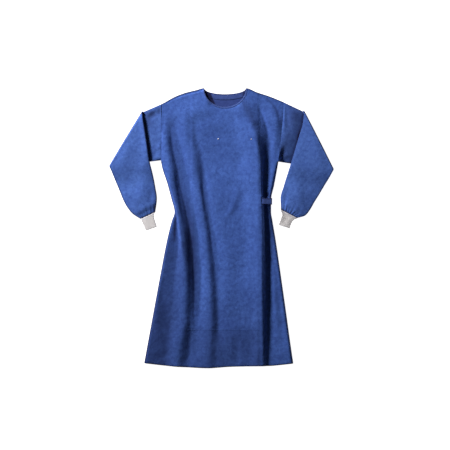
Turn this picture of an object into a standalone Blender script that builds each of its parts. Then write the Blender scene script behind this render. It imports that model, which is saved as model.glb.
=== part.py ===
"""A surgical gown, laid flat on its back with the front up and both sleeves folded forward.

+Z is up, the neck points to +Y and the hem to -Y. z = 0 is the surface that the gown lies on.
From that surface up: the outer back panel, the inner back panel that it wraps over, the front
panel with its long soft folds, and the reinforcement on the front. Each sleeve is one flat
tube, bent over forward along a slanting line, with a knitted cuff at its end.

Sizes and tables are in millimetres, and MM turns them into metres.
"""

import math
from collections import namedtuple

import bpy
import numpy as np

MM = 0.001

# Thicknesses and gaps (mm)
WALL = 1.5            # cloth of the panels and sleeves
THIN_WALL = 1.0       # reinforcement, neck binding and neck band
SEAM_GAP = 0.3        # between neighbouring pieces
LAYER = WALL + SEAM_GAP

# Neck opening (mm)
NECK_X = 15.5         # centre of the opening
NECK_HALF = 91.5      # half its width
NECK_TOP = 611.0      # height of both shoulder points
FRONT_NECK_DEPTH = 83.0
BACK_NECK_DEPTH = 26.0
BINDING_WIDTH = 6.0
BAND_WIDTH = 25.0     # neck band inside the back

# Lower edge of the reinforcement, and how far from the top edge it starts (mm)
REINFORCEMENT_HEM = -446.0
REINFORCEMENT_INSET = 9.0

# Top edge of the body and of the sleeves, cuff side to cuff side (mm)
ShoulderPoint = namedtuple("ShoulderPoint", "x y")
SHOULDER = (
    ShoulderPoint(-347, 511),
    ShoulderPoint(-264, 541),
    ShoulderPoint(-198, 576),
    ShoulderPoint(-150, 593),
    ShoulderPoint(-111, 602),
    ShoulderPoint(-76, 611),
    ShoulderPoint(107, 611),
    ShoulderPoint(155, 593),
    ShoulderPoint(207, 576),
    ShoulderPoint(272, 550),
    ShoulderPoint(362, 513),
)

# Places of the fold lines across the front, from the left edge to the right one, at each
# height y: "ridge" and "lip" are crests, "valley" and "foot" are hollows (mm)
LINES = (
    "edge_l hollow_l ridge_l valley_l ridge_m valley_m foot swell lip valley_r strip edge_r"
)
Section = namedtuple("Section", "y " + LINES)
FOLD_PLACES = (
    Section(512, -263, -250, -230, -190, -135, -76, -33, 37, 107, 164, 222, 270),
    Section(452, -263, -253, -238, -205, -150, -95, -42, 32, 116, 176, 230, 265),
    Section(393, -263, -253, -238, -207, -150, -105, -46, 37, 133, 187, 236, 259),
    Section(297, -264, -255, -231, -185, -129, -81, -24, 50, 157, 194, 231, 249),
    Section(188, -235, -228, -216, -157, -109, -74, -24, 59, 161, 194, 216, 230),
    Section(83, -208, -200, -190, -137, -91, -61, -11, 68, 166, 191, 204, 213),
    Section(-52, -238, -210, -177, -120, -72, -39, 11, 89, 168, 195, 222, 239),
    Section(-204, -268, -225, -170, -111, -63, -24, 28, 94, 166, 197, 235, 262),
    Section(-401, -304, -240, -170, -120, -59, -15, 33, 107, 166, 198, 250, 289),
    Section(-510, -323, -250, -182, -135, -63, -15, 28, 107, 166, 198, 258, 303),
    Section(-601, -337, -255, -195, -150, -61, -15, 24, 110, 168, 200, 265, 313),
)
# Height of the cloth above the back panels along the same lines (mm)
FOLD_RISES = (
    Section(512, 3, 5, 7, 8, 10, 11, 8, 8, 11, 6, 5, 3),
    Section(452, 3, 6, 9, 7, 11, 7, 7, 10, 18, 8, 6, 3),
    Section(393, 3, 7, 11, 4, 12, 5, 4, 8, 25, 8, 7, 3),
    Section(297, 3, 8, 14, 3, 12, 3, 4, 9, 28, 6, 6, 3),
    Section(188, 3, 9, 17, 2, 13, 3, 6, 12, 29, 4, 5, 2),
    Section(83, 3, 9, 17, 2, 12, 3, 7, 13, 30, 4, 5, 2),
    Section(-52, 2, 8, 17, 1, 12, 2, 8, 16, 31, 3, 5, 2),
    Section(-204, 2, 6, 18, 1, 13, 3, 8, 15, 31, 3, 5, 2),
    Section(-401, 2, 5, 15, 1, 14, 3, 7, 13, 26, 4, 6, 2),
    Section(-510, 2, 6, 14, 2, 12, 3, 6, 10, 20, 4, 5, 2),
    Section(-601, 2, 5, 12, 2, 10, 3, 5, 9, 17, 4, 4, 2),
)
# Height at which each line meets the hem (mm)
HEM = (-590, -600, -605, -608, -611, -609, -606, -603, -602, -602, -597, -591)
# Where the strips of faces between each line and the next one start, as shares of the way
HALVES = (0, 0.5)
QUARTERS = (0, 0.25, 0.5, 0.75)
STRIPS = (
    (0,),
    HALVES,
    QUARTERS,
    QUARTERS,
    QUARTERS,
    (0, 0.03, 0.1, 0.22, 0.4, 0.6, 0.8),
    QUARTERS,
    (0, 0.2, 0.4, 0.6, 0.78, 0.9, 0.97),
    QUARTERS,
    HALVES,
    HALVES,
)
# Rows of faces from the shoulder and neck to CHEST, on to the reinforcement's lower edge,
# and on to the hem
CHEST = 500.0
SHOULDER_ROWS = 4
BODY_ROWS = 17
HEM_ROWS = 4
SHOULDER_ROUNDING = 38.0  # how far below the shoulder seam the front has its full rise
SHOULDER_SEAM = 4.0       # and how far above it that rise would start from nothing

# Back panels (mm)
HEM_MIDDLE = -12.0        # lowest place of the back's hem, an arch from side to side
HEM_HALF = 324.0
OUTER_FREE_EDGE = 150.0   # edge of the outer back panel, under the right side
INNER_FREE_EDGE = -120.0  # edge of the inner back panel, under the left side
STEP_RAMP = 16.0          # length over which a panel comes down beside the one below it
STEP_MARGIN = 4.0         # and how far it stays up past the edge below
# Heights of the rows of points between the top edge and the hem
BACK_ROWS = (520, 440, 365, 297, 240, 188, 152, 135, 98, 81, 0, -100, -204, -300, -401, -510)

# The binding and the band end so many degrees of the neck's half-circle short of its ends
NECK_STEPS = 16
BINDING_END = 6.0
BAND_END = 14.0
BAND_DROP = 1.0       # of the band below the back's neck edge (mm)

# Belt (mm)
BELT_TOP = 131.0
BELT_WIDTH = 29.0
BELT_START = 177.0    # under the lip of the deep fold
BELT_STANDS_OUT = 6.0
BELT_CLEARANCE = 1.6  # above the front panel
BELT_UNDER_END = OUTER_FREE_EDGE + 2.0
BELT_STEPS = 6        # over the front
BELT_TURN_START = 1.0   # inside the right edge, where the belt starts to turn down
BELT_TURN_ANGLES = (60, 20, -20, -60)

# Sleeves (mm)
SLEEVE_HEIGHT = 6.5   # of the flat tube at its middle
SLEEVE_EDGE = 5.0     # and at its two edges
FOLD_CENTRE = SLEEVE_HEIGHT + 0.5   # height of the line that the sleeve is bent around
ARMHOLE_TOP = 545.0   # height of the armhole's upper end
SHOULDER_GAP = 0.5    # of the sleeve's upper end below the shoulder line
ACROSS = 16           # strips of cloth across one side of the tube
GATHERS = 8           # waves of the lower sleeve's upper side, where the cuff gathers it
GATHER_HEIGHT = 3.0
GATHER_LENGTH = 0.28  # share of the lower sleeve
SETTLE_START = 4.0    # past the sleeve's upper part, where the lower part starts to come down
SETTLE_END = 95.0
UPPER_STATIONS = (0.0, 0.35, 0.7)
FOLD_ANGLES = (0, 45, 90, 135, 180)
LOWER_STATIONS = (0.09, 0.22, 0.36, 0.5, 0.64, 0.76, 0.86, 0.94, 1.0)

# Lower sleeve from the bend (share 0) to the cuff (share 1), lying on the upper part: the
# inner edge, towards the body, and the outer edge (mm)
Chord = namedtuple("Chord", "share inner_x inner_y outer_x outer_y")
LOWER_LEFT = (
    Chord(0.0, -347, 511, -491, 273),
    Chord(0.15, -336, 445, -477, 240),
    Chord(0.3, -326, 380, -463, 205),
    Chord(0.5, -313, 290, -443, 157),
    Chord(0.65, -300, 236, -428, 120),
    Chord(0.8, -289, 179, -410, 88),
    Chord(0.9, -282, 129, -390, 64),
    Chord(1.0, -289, 71, -355, 41),
)
LOWER_RIGHT = (
    Chord(0.0, 362, 513, 491, 258),
    Chord(0.15, 354, 454, 471, 221),
    Chord(0.3, 339, 402, 451, 188),
    Chord(0.5, 312, 312, 425, 144),
    Chord(0.65, 292, 249, 405, 112),
    Chord(0.8, 272, 184, 386, 79),
    Chord(0.9, 258, 131, 364, 54),
    Chord(1.0, 260, 81, 331, 44),
)
UNDERARM_LEFT = 296.0     # height of the sleeve's lower corner at the body
UNDERARM_RIGHT = 290.0

# Knitted cuffs, from the sleeve to the open end (mm)
CUFF_LEFT = (
    Chord(0.0, -290, 70, -353, 40),
    Chord(0.25, -296, 55, -347, 27),
    Chord(1.0, -283, 6, -330, -10),
)
CUFF_RIGHT = (
    Chord(0.0, 262, 80, 329, 42.5),
    Chord(0.25, 266, 57, 320, 34),
    Chord(1.0, 251, 16, 296, 0),
)
CUFF_HEIGHT = 6.0
CUFF_EDGE = 5.0
CUFF_STATIONS = (0.0, 0.25, 0.5, 0.75, 1.0)
CUFF_ACROSS = 10

CLOTH_BLUE = (0.055, 0.115, 0.42)
CLOTH_INSIDE = (0.05, 0.10, 0.38)
KNIT = (0.70, 0.65, 0.68)
BINDING_BLUE = (0.09, 0.16, 0.50)
ROUGHNESS = 0.85
SHARP_ANGLE = 50.0
SOLVER_STEPS = 8      # for the place where a column meets a curved edge


def smooth(places, values, at):
    """A monotone cubic through (places, values), flat at its crests and hollows."""
    places = np.asarray(places, float)
    values = np.asarray(values, float)
    step = np.diff(places)
    slope = np.diff(values) / step
    tangent = np.zeros(len(places))
    for i in range(1, len(places) - 1):
        if slope[i - 1] * slope[i] > 0:
            near = 2 * step[i] + step[i - 1]
            far = step[i] + 2 * step[i - 1]
            tangent[i] = (near + far) / (near / slope[i - 1] + far / slope[i])
    tangent[0] = slope[0]
    tangent[-1] = slope[-1]
    at = min(max(at, places[0]), places[-1])
    i = min(int(np.searchsorted(places, at, side="right")) - 1, len(step) - 1)
    t = (at - places[i]) / step[i]
    start = values[i] * (1 + 2 * t) * (1 - t) ** 2 + step[i] * tangent[i] * t * (1 - t) ** 2
    end = values[i + 1] * t * t * (3 - 2 * t) + step[i] * tangent[i + 1] * t * t * (t - 1)
    return start + end


def ease(value, start, end):
    """0 before start, 1 after end and a soft step between."""
    t = min(max((value - start) / (end - start), 0.0), 1.0)
    return t * t * (3 - 2 * t)


def lerp(a, b, t):
    return a + (b - a) * t


def by_height(table, y):
    """The row of a section table at height y, without its y."""
    rows = table[::-1]
    heights = [row.y for row in rows]
    return [smooth(heights, [row[k] for row in rows], y) for k in range(1, len(rows[0]))]


def shoulder_y(x):
    return smooth([p.x for p in SHOULDER], [p.y for p in SHOULDER], x)


def neck_y(x, depth):
    """Edge of the neck opening, or the shoulder line beside it."""
    across = (x - NECK_X) / NECK_HALF
    if abs(across) >= 1:
        return shoulder_y(x)
    return NECK_TOP - depth * math.sqrt(1 - across * across)


def body_edges(y):
    places = by_height(FOLD_PLACES, y)
    return places[0], places[-1]


def back_lift(x, y):
    """How far the inner back panel is raised by what it lies on."""
    reach = STEP_RAMP + STEP_MARGIN
    over_panel = ease(OUTER_FREE_EDGE + reach - x, 0, STEP_RAMP)
    inside_top = ease(BELT_TOP + reach - y, 0, STEP_RAMP)
    inside_bottom = ease(y - (BELT_TOP - BELT_WIDTH - reach), 0, STEP_RAMP)
    return LAYER * max(over_panel, inside_top * inside_bottom)


def back_top(x, y):
    """Upper side of the back panels: two layers where the inner one is, one elsewhere."""
    reach = STEP_RAMP + STEP_MARGIN
    two = ease(x, INNER_FREE_EDGE - reach, INNER_FREE_EDGE - STEP_MARGIN)
    return WALL + two * back_lift(x, y)


def front_under(x, y):
    """Underside of the front panel."""
    places = by_height(FOLD_PLACES, y)
    rises = by_height(FOLD_RISES, y)
    rise = smooth(places, rises, x)
    rise *= ease(shoulder_y(x) - y, -SHOULDER_SEAM, SHOULDER_ROUNDING)
    return back_top(x, y) + SEAM_GAP + rise


def steepness(height, x, y):
    """How much longer an upright step through the cloth is than its thickness."""
    step = 1.0
    dx = (height(x + step, y) - height(x - step, y)) / (2 * step)
    dy = (height(x, y + step) - height(x, y - step)) / (2 * step)
    return math.sqrt(1 + dx * dx + dy * dy)


def new_object(name, points, faces, colour):
    mesh = bpy.data.meshes.new(name)
    mesh.from_pydata([tuple(c * MM for c in p) for p in points], [], faces)
    mesh.validate()
    mesh.shade_smooth()
    mesh.set_sharp_from_angle(angle=math.radians(SHARP_ANGLE))
    material = bpy.data.materials.new(name)
    material.use_nodes = True
    shader = material.node_tree.nodes["Principled BSDF"]
    shader.inputs["Base Color"].default_value = (*colour, 1.0)
    shader.inputs["Roughness"].default_value = ROUGHNESS
    shader.inputs["Metallic"].default_value = 0.0
    material.diffuse_color = (*colour, 1.0)
    mesh.materials.append(material)
    piece = bpy.data.objects.new(name, mesh)
    bpy.context.scene.collection.objects.link(piece)
    return piece


def sheet_solid(name, under, over, colour):
    """A closed wall between two grids of points. Rows run down and columns to +X.

    Every sheet is split along the same diagonals, so sheets that share a plan never cross.
    """
    rows, columns = len(under), len(under[0])
    points = [p for row in under for p in row] + [p for row in over for p in row]
    above = rows * columns

    def index(r, c):
        return r * columns + c

    faces = []
    for r in range(rows - 1):
        for c in range(columns - 1):
            a, b = index(r, c), index(r, c + 1)
            d, e = index(r + 1, c), index(r + 1, c + 1)
            for face in ((a, b, e), (a, e, d)):
                faces.append(face)
                faces.append(tuple(above + i for i in reversed(face)))
    rim = [index(0, c) for c in range(columns)]
    rim += [index(r, columns - 1) for r in range(1, rows)]
    rim += [index(rows - 1, c) for c in range(columns - 2, -1, -1)]
    rim += [index(r, 0) for r in range(rows - 2, 0, -1)]
    for a, b in zip(rim, rim[1:] + rim[:1]):
        faces.append((b, a, above + a, above + b))
    return new_object(name, points, faces, colour)


def column_places():
    """Each column's place along the fold lines: line 2.5 is halfway from line 2 to line 3."""
    columns = []
    for line, starts in enumerate(STRIPS):
        columns += [line + start for start in starts]
    return columns + [float(len(STRIPS))]


def on_lines(values, column):
    line = min(int(column), len(values) - 2)
    return lerp(values[line], values[line + 1], column - line)


def top_of_column(column):
    """Where a column meets the shoulder or the neck edge."""
    y = FOLD_PLACES[0].y
    for _ in range(SOLVER_STEPS):
        y = neck_y(on_lines(by_height(FOLD_PLACES, y), column), FRONT_NECK_DEPTH)
    return y


def front_rows(top, hem):
    """Heights of one column's points, from its top edge to the hem."""
    rows = [top]
    for k in range(SHOULDER_ROWS - 1):
        rows.append(lerp(top - REINFORCEMENT_INSET, CHEST, k / (SHOULDER_ROWS - 1)))
    for k in range(BODY_ROWS):
        rows.append(lerp(CHEST, REINFORCEMENT_HEM, k / BODY_ROWS))
    for k in range(HEM_ROWS + 1):
        rows.append(lerp(REINFORCEMENT_HEM, hem, k / HEM_ROWS))
    return rows


def front_plan():
    """The front panel's points seen from above, as rows of (x, y)."""
    plan = []
    for column in column_places():
        rows = front_rows(top_of_column(column), on_lines(HEM, column))
        plan.append([(on_lines(by_height(FOLD_PLACES, y), column), y) for y in rows])
    return [list(row) for row in zip(*plan)]


def raised(plan, start, end):
    """Two grids over a plan, start and end millimetres out from the front's underside."""
    low, high = [], []
    for row in plan:
        low.append([])
        high.append([])
        for x, y in row:
            z = front_under(x, y)
            steep = steepness(front_under, x, y)
            low[-1].append((x, y, z + start * steep))
            high[-1].append((x, y, z + end * steep))
    return low, high


def column_of(line):
    """Number of the column that runs along a fold line."""
    return column_places().index(LINES.split().index(line))


def make_front():
    """The front is one cut, in two solids that part along the foot of the deep fold."""
    plan = front_plan()
    foot = column_of("valley_r")
    half_gap = SEAM_GAP / 2
    main = [row[:foot] + [(row[foot][0] - half_gap, row[foot][1])] for row in plan]
    side = [[(row[foot][0] + half_gap, row[foot][1])] + row[foot + 1:] for row in plan]
    sheet_solid("front_panel", *raised(main, 0, WALL), CLOTH_BLUE)
    sheet_solid("front_panel_right_side", *raised(side, 0, WALL), CLOTH_BLUE)
    first, last = column_of("ridge_l"), column_of("lip")
    block = [row[first:last + 1] for row in plan[1:SHOULDER_ROWS + BODY_ROWS + 1]]
    start = WALL + SEAM_GAP
    sheet_solid("front_reinforcement", *raised(block, start, start + THIN_WALL), CLOTH_BLUE)


def back_panel(name, stops, strips, under, colour):
    """A back panel: stops(y) are x places across it, with so many strips between each two."""
    places = []
    for k, count in enumerate(strips):
        places += [k + i / count for i in range(count)]
    places.append(float(len(strips)))
    top_row, hem_row = [], []
    for place in places:
        y = NECK_TOP
        for _ in range(SOLVER_STEPS):
            y = neck_y(on_lines(stops(y), place), BACK_NECK_DEPTH)
        top_row.append((on_lines(stops(y), place), y))
        x = on_lines(stops(min(HEM)), place)
        across = (x - HEM_MIDDLE) / HEM_HALF
        hem_row.append((x, lerp(min(HEM), max(HEM), across * across)))
    middle_rows = [[(on_lines(stops(y), place), y) for place in places] for y in BACK_ROWS]
    plan = [top_row] + middle_rows + [hem_row]
    low = [[(x, y, under(x, y)) for x, y in row] for row in plan]
    high = [[(x, y, z + WALL) for x, y, z in row] for row in low]
    sheet_solid(name, low, high, colour)


def make_back():
    neck = (NECK_X - NECK_HALF, NECK_X + NECK_HALF)
    past_outer = OUTER_FREE_EDGE + STEP_MARGIN
    back_panel(
        "back_outer",
        lambda y: (body_edges(y)[0], *neck, OUTER_FREE_EDGE),
        (5, 8, 1),
        lambda x, y: 0.0,
        CLOTH_INSIDE,
    )
    back_panel(
        "back_inner",
        lambda y: (INNER_FREE_EDGE, *neck, past_outer, past_outer + STEP_RAMP, body_edges(y)[1]),
        (1, 8, 1, 2, 2),
        back_lift,
        CLOTH_INSIDE,
    )


def neck_line(end, out, depth, drop=0.0):
    """Points along the neck's half-ellipse, out millimetres outside its edge."""
    line = []
    for i in range(NECK_STEPS + 1):
        turn = math.radians(lerp(end, 180 - end, i / NECK_STEPS))
        x = NECK_X - math.cos(turn) * (NECK_HALF + out)
        line.append((x, NECK_TOP - math.sin(turn) * (depth + out) - drop))
    return line


def make_neck():
    """The binding on the front edge, and the band inside the back."""
    inner = neck_line(BINDING_END, 0.0, FRONT_NECK_DEPTH)
    outer = neck_line(BINDING_END, BINDING_WIDTH, FRONT_NECK_DEPTH)
    start = WALL + THIN_WALL + 5 * SEAM_GAP
    grids = raised([inner, outer], start, start + THIN_WALL)
    sheet_solid("neck_binding_front", *grids, BINDING_BLUE)
    top = neck_line(BAND_END, 0.0, BACK_NECK_DEPTH, BAND_DROP)
    foot = neck_line(BAND_END, 0.0, BACK_NECK_DEPTH, BAND_DROP + BAND_WIDTH)
    base = WALL + LAYER + SEAM_GAP
    low = [[(x, y, base) for x, y in row] for row in (top, foot)]
    high = [[(x, y, z + THIN_WALL) for x, y, z in row] for row in low]
    sheet_solid("neck_band_back", low, high, BINDING_BLUE)


def make_belt():
    """A flat strip: over the side of the front, round the right edge and back underneath."""
    under, over = [], []
    for y in (BELT_TOP, BELT_TOP - BELT_WIDTH / 2, BELT_TOP - BELT_WIDTH):
        start = body_edges(y)[1] - BELT_TURN_START
        path = []      # (x, z) of the side towards the gown, and which way is out
        for i in range(BELT_STEPS + 1):
            x = lerp(BELT_START, start, i / BELT_STEPS)
            path.append((x, front_under(x, y) + WALL + BELT_CLEARANCE, 0.0, 1.0))
        reach = BELT_TURN_START + BELT_STANDS_OUT - WALL
        middle, half = (path[-1][1] + WALL) / 2, (path[-1][1] - WALL) / 2
        for angle in BELT_TURN_ANGLES:
            out_x, out_z = math.cos(math.radians(angle)), math.sin(math.radians(angle))
            path.append((start + reach * out_x, middle + half * out_z, out_x, out_z))
        path.append((start, WALL, 0.0, -1.0))
        path.append((BELT_UNDER_END, WALL, 0.0, -1.0))
        under.append([(x, y, z) for x, z, _, _ in path])
        over.append([(x + out_x * WALL, y, max(z + out_z * WALL, 0)) for x, z, out_x, out_z in path])
    sheet_solid("belt", under, over, CLOTH_BLUE)


def tube(name, rings, colour):
    """An open tube with a wall: each ring is (outer points, inner points), same count."""
    count = len(rings[0][0])
    points = []
    for outer, inner in rings:
        points += outer + inner

    def quad(ring_a, layer_a, ring_b, layer_b, k):
        """A face between two lines of points, from their point k to the next."""
        a = (ring_a * 2 + layer_a) * count
        b = (ring_b * 2 + layer_b) * count
        after = (k + 1) % count
        return (a + k, a + after, b + after, b + k)

    last = len(rings) - 1
    faces = []
    for k in range(count):
        for r in range(last):
            faces.append(quad(r, 0, r + 1, 0, k))
            faces.append(quad(r + 1, 1, r, 1, k))
        faces.append(quad(0, 1, 0, 0, k))
        faces.append(quad(last, 0, last, 1, k))
    return new_object(name, points, faces, colour)


def flat_section(width, height, edge_height, strips, flat_side_up):
    """Points (across, height) of a flattened tube's outer and inner ring.

    One side is level and the other is a low arch: the arch is on top when flat_side_up is 0,
    and underneath when it is 1.
    """
    round_off = edge_height / 2
    low_out, low_in, high_out, high_in = [], [], [], []
    for i in range(strips + 1):
        across = round_off + (width - 2 * round_off) * i / strips
        here = edge_height + (height - edge_height) * math.sin(math.pi * across / width)
        low = (height - here) * flat_side_up
        low_out.append((across, low))
        low_in.append((across, low + WALL))
        high_out.append((across, low + here))
        high_in.append((across, low + here - WALL))
    middle = low_out[0][1] + edge_height / 2
    outer = low_out + [(width, middle)] + high_out[::-1] + [(0.0, middle)]
    inner = low_in + [(width - WALL, middle)] + high_in[::-1] + [(WALL, middle)]
    return outer, inner


def chord_at(table, share):
    shares = [row.share for row in table]
    return [smooth(shares, [row[k] for row in table], share) for k in range(1, 5)]


def make_sleeve(name, side, lower, underarm):
    """side is -1 on the left and 1 on the right."""
    start = lower[0]
    inner_end = np.array([start.inner_x, start.inner_y], float)
    outer_end = np.array([start.outer_x, start.outer_y], float)
    bend_width = float(np.hypot(*(outer_end - inner_end)))
    along = (outer_end - inner_end) / bend_width
    out = np.array([-along[1], along[0]])
    if out[0] * side < 0:
        out = -out
    bend_start = inner_end - out * FOLD_CENTRE

    def edge_x(y):
        return body_edges(y)[0 if side < 0 else 1]

    armhole_top = shoulder_y(edge_x(ARMHOLE_TOP)) - SHOULDER_GAP
    rings = []

    def add_ring(width, place, flat_side_up=0.0):
        outer, inner = flat_section(width, SLEEVE_HEIGHT, SLEEVE_EDGE, ACROSS, flat_side_up)
        ring = ([place(a, h) for a, h in outer], [place(a, h) for a, h in inner])
        rings.append(ring if side < 0 else (ring[0][::-1], ring[1][::-1]))

    for share in UPPER_STATIONS:
        width = lerp(armhole_top - underarm, bend_width, share)

        def upper(a, h, share=share, width=width):
            y = lerp(armhole_top, underarm, a / width)
            seam = np.array([edge_x(y) + side * SEAM_GAP, y])
            x, y = lerp(seam, bend_start + along * (bend_width * a / width), share)
            return (x, y, h)

        add_ring(width, upper)
    for angle in FOLD_ANGLES:
        turn = math.radians(angle)

        def bent(a, h, turn=turn):
            radius = FOLD_CENTRE - h
            x, y = bend_start + along * a + out * radius * math.sin(turn)
            return (x, y, FOLD_CENTRE - radius * math.cos(turn))

        add_ring(bend_width, bent, ease(angle, 0, 180))
    settle = 2 * FOLD_CENTRE - SLEEVE_HEIGHT
    for share in LOWER_STATIONS:
        ax, ay, bx, by = chord_at(lower, share)
        width = math.hypot(bx - ax, by - ay)
        gather = GATHER_HEIGHT * ease(share, 1 - GATHER_LENGTH, 1)

        def lying(a, h, chord=(ax, ay, bx, by), width=width, gather=gather):
            ax, ay, bx, by = chord
            x, y = lerp(ax, bx, a / width), lerp(ay, by, a / width)
            reach = abs(x - edge_x(underarm)) / abs(start.outer_x - edge_x(underarm))
            past = lerp(underarm, start.outer_y, reach) - y
            z = 2 * FOLD_CENTRE - h - settle * ease(past, SETTLE_START, SETTLE_END)
            if h < SLEEVE_HEIGHT / 2:
                z += gather * (0.5 + 0.5 * math.cos(2 * math.pi * GATHERS * a / width))
            return (x, y, z)

        add_ring(width, lying, 1.0)
    tube(name, rings, CLOTH_BLUE)


def make_cuff(name, side, table):
    rings = []
    for share in CUFF_STATIONS:
        ax, ay, bx, by = chord_at(table, share)
        width = math.hypot(bx - ax, by - ay)
        outer, inner = flat_section(width, CUFF_HEIGHT, CUFF_EDGE, CUFF_ACROSS, 0)

        def place(a, h, ax=ax, ay=ay, bx=bx, by=by, width=width):
            return (lerp(ax, bx, a / width), lerp(ay, by, a / width), h)

        ring = ([place(a, h) for a, h in outer], [place(a, h) for a, h in inner])
        rings.append(ring if side > 0 else (ring[0][::-1], ring[1][::-1]))
    tube(name, rings, KNIT)


def main():
    for old in list(bpy.data.objects):
        bpy.data.objects.remove(old, do_unlink=True)
    make_back()
    make_front()
    make_neck()
    make_belt()
    make_sleeve("sleeve_left", -1, LOWER_LEFT, UNDERARM_LEFT)
    make_sleeve("sleeve_right", 1, LOWER_RIGHT, UNDERARM_RIGHT)
    make_cuff("cuff_left", -1, CUFF_LEFT)
    make_cuff("cuff_right", 1, CUFF_RIGHT)


main()
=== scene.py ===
"""The looks of a surgical gown that lies flat on its back, sleeves folded forward.

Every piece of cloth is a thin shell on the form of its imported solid, with finer folds, seams,
pleats and stitches. Tables are in millimetres in the part's frame: +X to the right sleeve,
+Y to the neck, +Z up from the surface that the gown lies on.
"""

import math
from collections import namedtuple

import bpy
import numpy as np
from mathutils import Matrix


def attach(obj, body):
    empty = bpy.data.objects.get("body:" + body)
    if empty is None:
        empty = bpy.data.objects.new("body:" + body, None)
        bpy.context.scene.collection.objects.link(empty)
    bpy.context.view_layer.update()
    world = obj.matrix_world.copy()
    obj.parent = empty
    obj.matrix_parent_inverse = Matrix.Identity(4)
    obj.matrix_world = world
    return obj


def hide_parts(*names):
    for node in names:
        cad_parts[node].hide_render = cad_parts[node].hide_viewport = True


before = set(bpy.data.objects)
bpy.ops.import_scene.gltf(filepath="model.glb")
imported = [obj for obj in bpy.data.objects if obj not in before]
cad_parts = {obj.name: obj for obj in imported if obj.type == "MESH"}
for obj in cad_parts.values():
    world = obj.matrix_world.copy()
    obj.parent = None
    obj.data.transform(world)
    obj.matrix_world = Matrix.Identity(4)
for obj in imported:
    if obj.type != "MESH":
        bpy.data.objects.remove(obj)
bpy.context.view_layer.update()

MM = 0.001


def rows_of(kind, *rows):
    return tuple(kind(*row) for row in rows)


# Cloth and layers (mm), as in the solids
WALL = 1.5
SEAM_GAP = 0.3
LAYER = WALL + SEAM_GAP
SHELL = 0.5  # thickness of the shells
BACK_SHELL = 1.1  # and of the back panels, which nothing backs
CELL = 4.6  # size of a shell's faces

# Neck opening (mm)
NECK_X = 15.5
NECK_HALF = 91.5
NECK_TOP = 611.0
FRONT_NECK_DEPTH = 83.0
BACK_NECK_DEPTH = 26.0
BINDING_WIDTH = 6.0
BAND_WIDTH = 25.0
CHEST = 500.0
# The binding's section: millimetres out from the neck edge, height over the front's underside
BINDING_PROFILE = (
    (6.6, 1.4), (6.2, 1.9), (5.0, 2.4), (3.4, 2.6), (1.8, 2.6), (0.5, 2.3), (-0.5, 1.8),
    (-0.9, 1.0), (-0.6, 0.3), (0.4, -0.4), (2.0, -0.7), (4.0, -0.7),
)
REINFORCEMENT_HEM = -446.0
SHOULDER_ROUNDING = 110.0

SHOULDER = (  # x and y
    (-347, 511),
    (-264, 541),
    (-198, 576),
    (-150, 593),
    (-111, 602),
    (-76, 611),
    (107, 611),
    (155, 593),
    (207, 576),
    (272, 550),
    (362, 513),
)

# Fold lines across the front at each height y, and the cloth's rise along them (mm)
Section = namedtuple(
    "Section",
    "y edge_l hollow_l ridge_l valley_l ridge_m valley_m foot swell lip valley_r strip edge_r",
)
FOLD_PLACES = rows_of(
    Section,
    (580, -263, -248, -228, -188, -140, -86, -33, 36, 94, 146, 205, 270),
    (512, -263, -250, -231, -194, -144, -82, -33, 36, 109, 158, 229, 270),
    (452, -263, -254, -241, -210, -158, -108, -43, 36, 129, 194, 237, 265),
    (393, -263, -255, -243, -204, -147, -107, -47, 45, 148, 210, 236, 259),
    (297, -264, -250, -230, -184, -126, -74, -26, 67, 167, 198, 235, 249),
    (188, -235, -228, -220, -156, -103, -74, -32, 72, 170, 188, 218, 230),
    (125, -218, -212, -206, -143, -92, -67, -24, 74, 172, 190, 209, 217),
    (69, -205, -199.5, -193.5, -132, -83, -58, -12, 76, 174.5, 192.5, 207, 216.5),
    (30, -217, -195.5, -187, -125, -77, -49.5, -4, 83, 176, 194, 210, 222.5),
    (-52, -237, -188, -175, -112, -67, -33, 13, 98, 178, 197, 216, 236),
    (-204, -266, -207, -158, -104, -55, -16, 31, 108, 176, 200, 226, 258),
    (-401, -301.5, -222, -163, -113, -48, -10, 31, 121, 177, 204, 244, 285.5),
    (-510, -321, -241, -186, -127, -51, -13, 23, 120, 178, 206, 253, 300),
    (-601, -337, -251, -195, -149, -56, -15, 23, 114, 178, 204, 263, 313),
)
FOLD_RISES = rows_of(
    Section,
    (580, 3, 3, 4, 4, 5, 6, 6, 7, 9, 6, 8, 4),
    (512, 3, 3, 4, 5, 9, 8, 7, 11, 16, 6, 10, 4),
    (452, 4, 4, 5, 3, 9, 5, 7, 11, 23, 8, 12, 7),
    (393, 4, 8, 9, 1, 10, 5, 4, 9, 28, 8, 12, 9),
    (297, 5, 9, 12, 1, 10, 3, 4, 9, 28, 8, 13, 14),
    (188, 7, 13, 16, 1, 10, 3, 7, 13, 30, 8, 15, 8),
    (125, 9.8, 12.6, 16.6, 1, 9.5, 3.6, 7.8, 12.4, 31.5, 7.4, 15.8, 8.9),
    (69, 11, 11.7, 17.2, 1, 8.9, 3.9, 8, 12, 32, 7, 16, 10.4),
    (30, 11, 10, 18.3, 1, 8.5, 3, 8, 12.2, 31.8, 7, 15.5, 12),
    (-52, 11, 7, 20, 1, 8, 1, 8, 13, 31, 7, 14, 15),
    (-204, 11, 7, 18, 0, 9, 2, 8, 15, 29, 8, 12, 16),
    (-401, 10, 6, 14, 0, 11, 3, 6, 13, 24, 7, 11, 16),
    (-510, 8, 5, 13, 0, 11, 4, 7, 9, 18, 4, 10, 17),
    (-601, 6, 4, 11, 2, 10, 5, 5, 8, 15, 3, 7, 11),
)
EDGE_ROLL = 10.0  # how far inside its side edges the front has turned down
ARMHOLE_FOOT = 293.0  # and below which height, as the sleeves are sewn on above it
HEM = (-590, -600, -605, -608, -611, -609, -606, -603, -602, -602, -597, -591)

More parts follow.
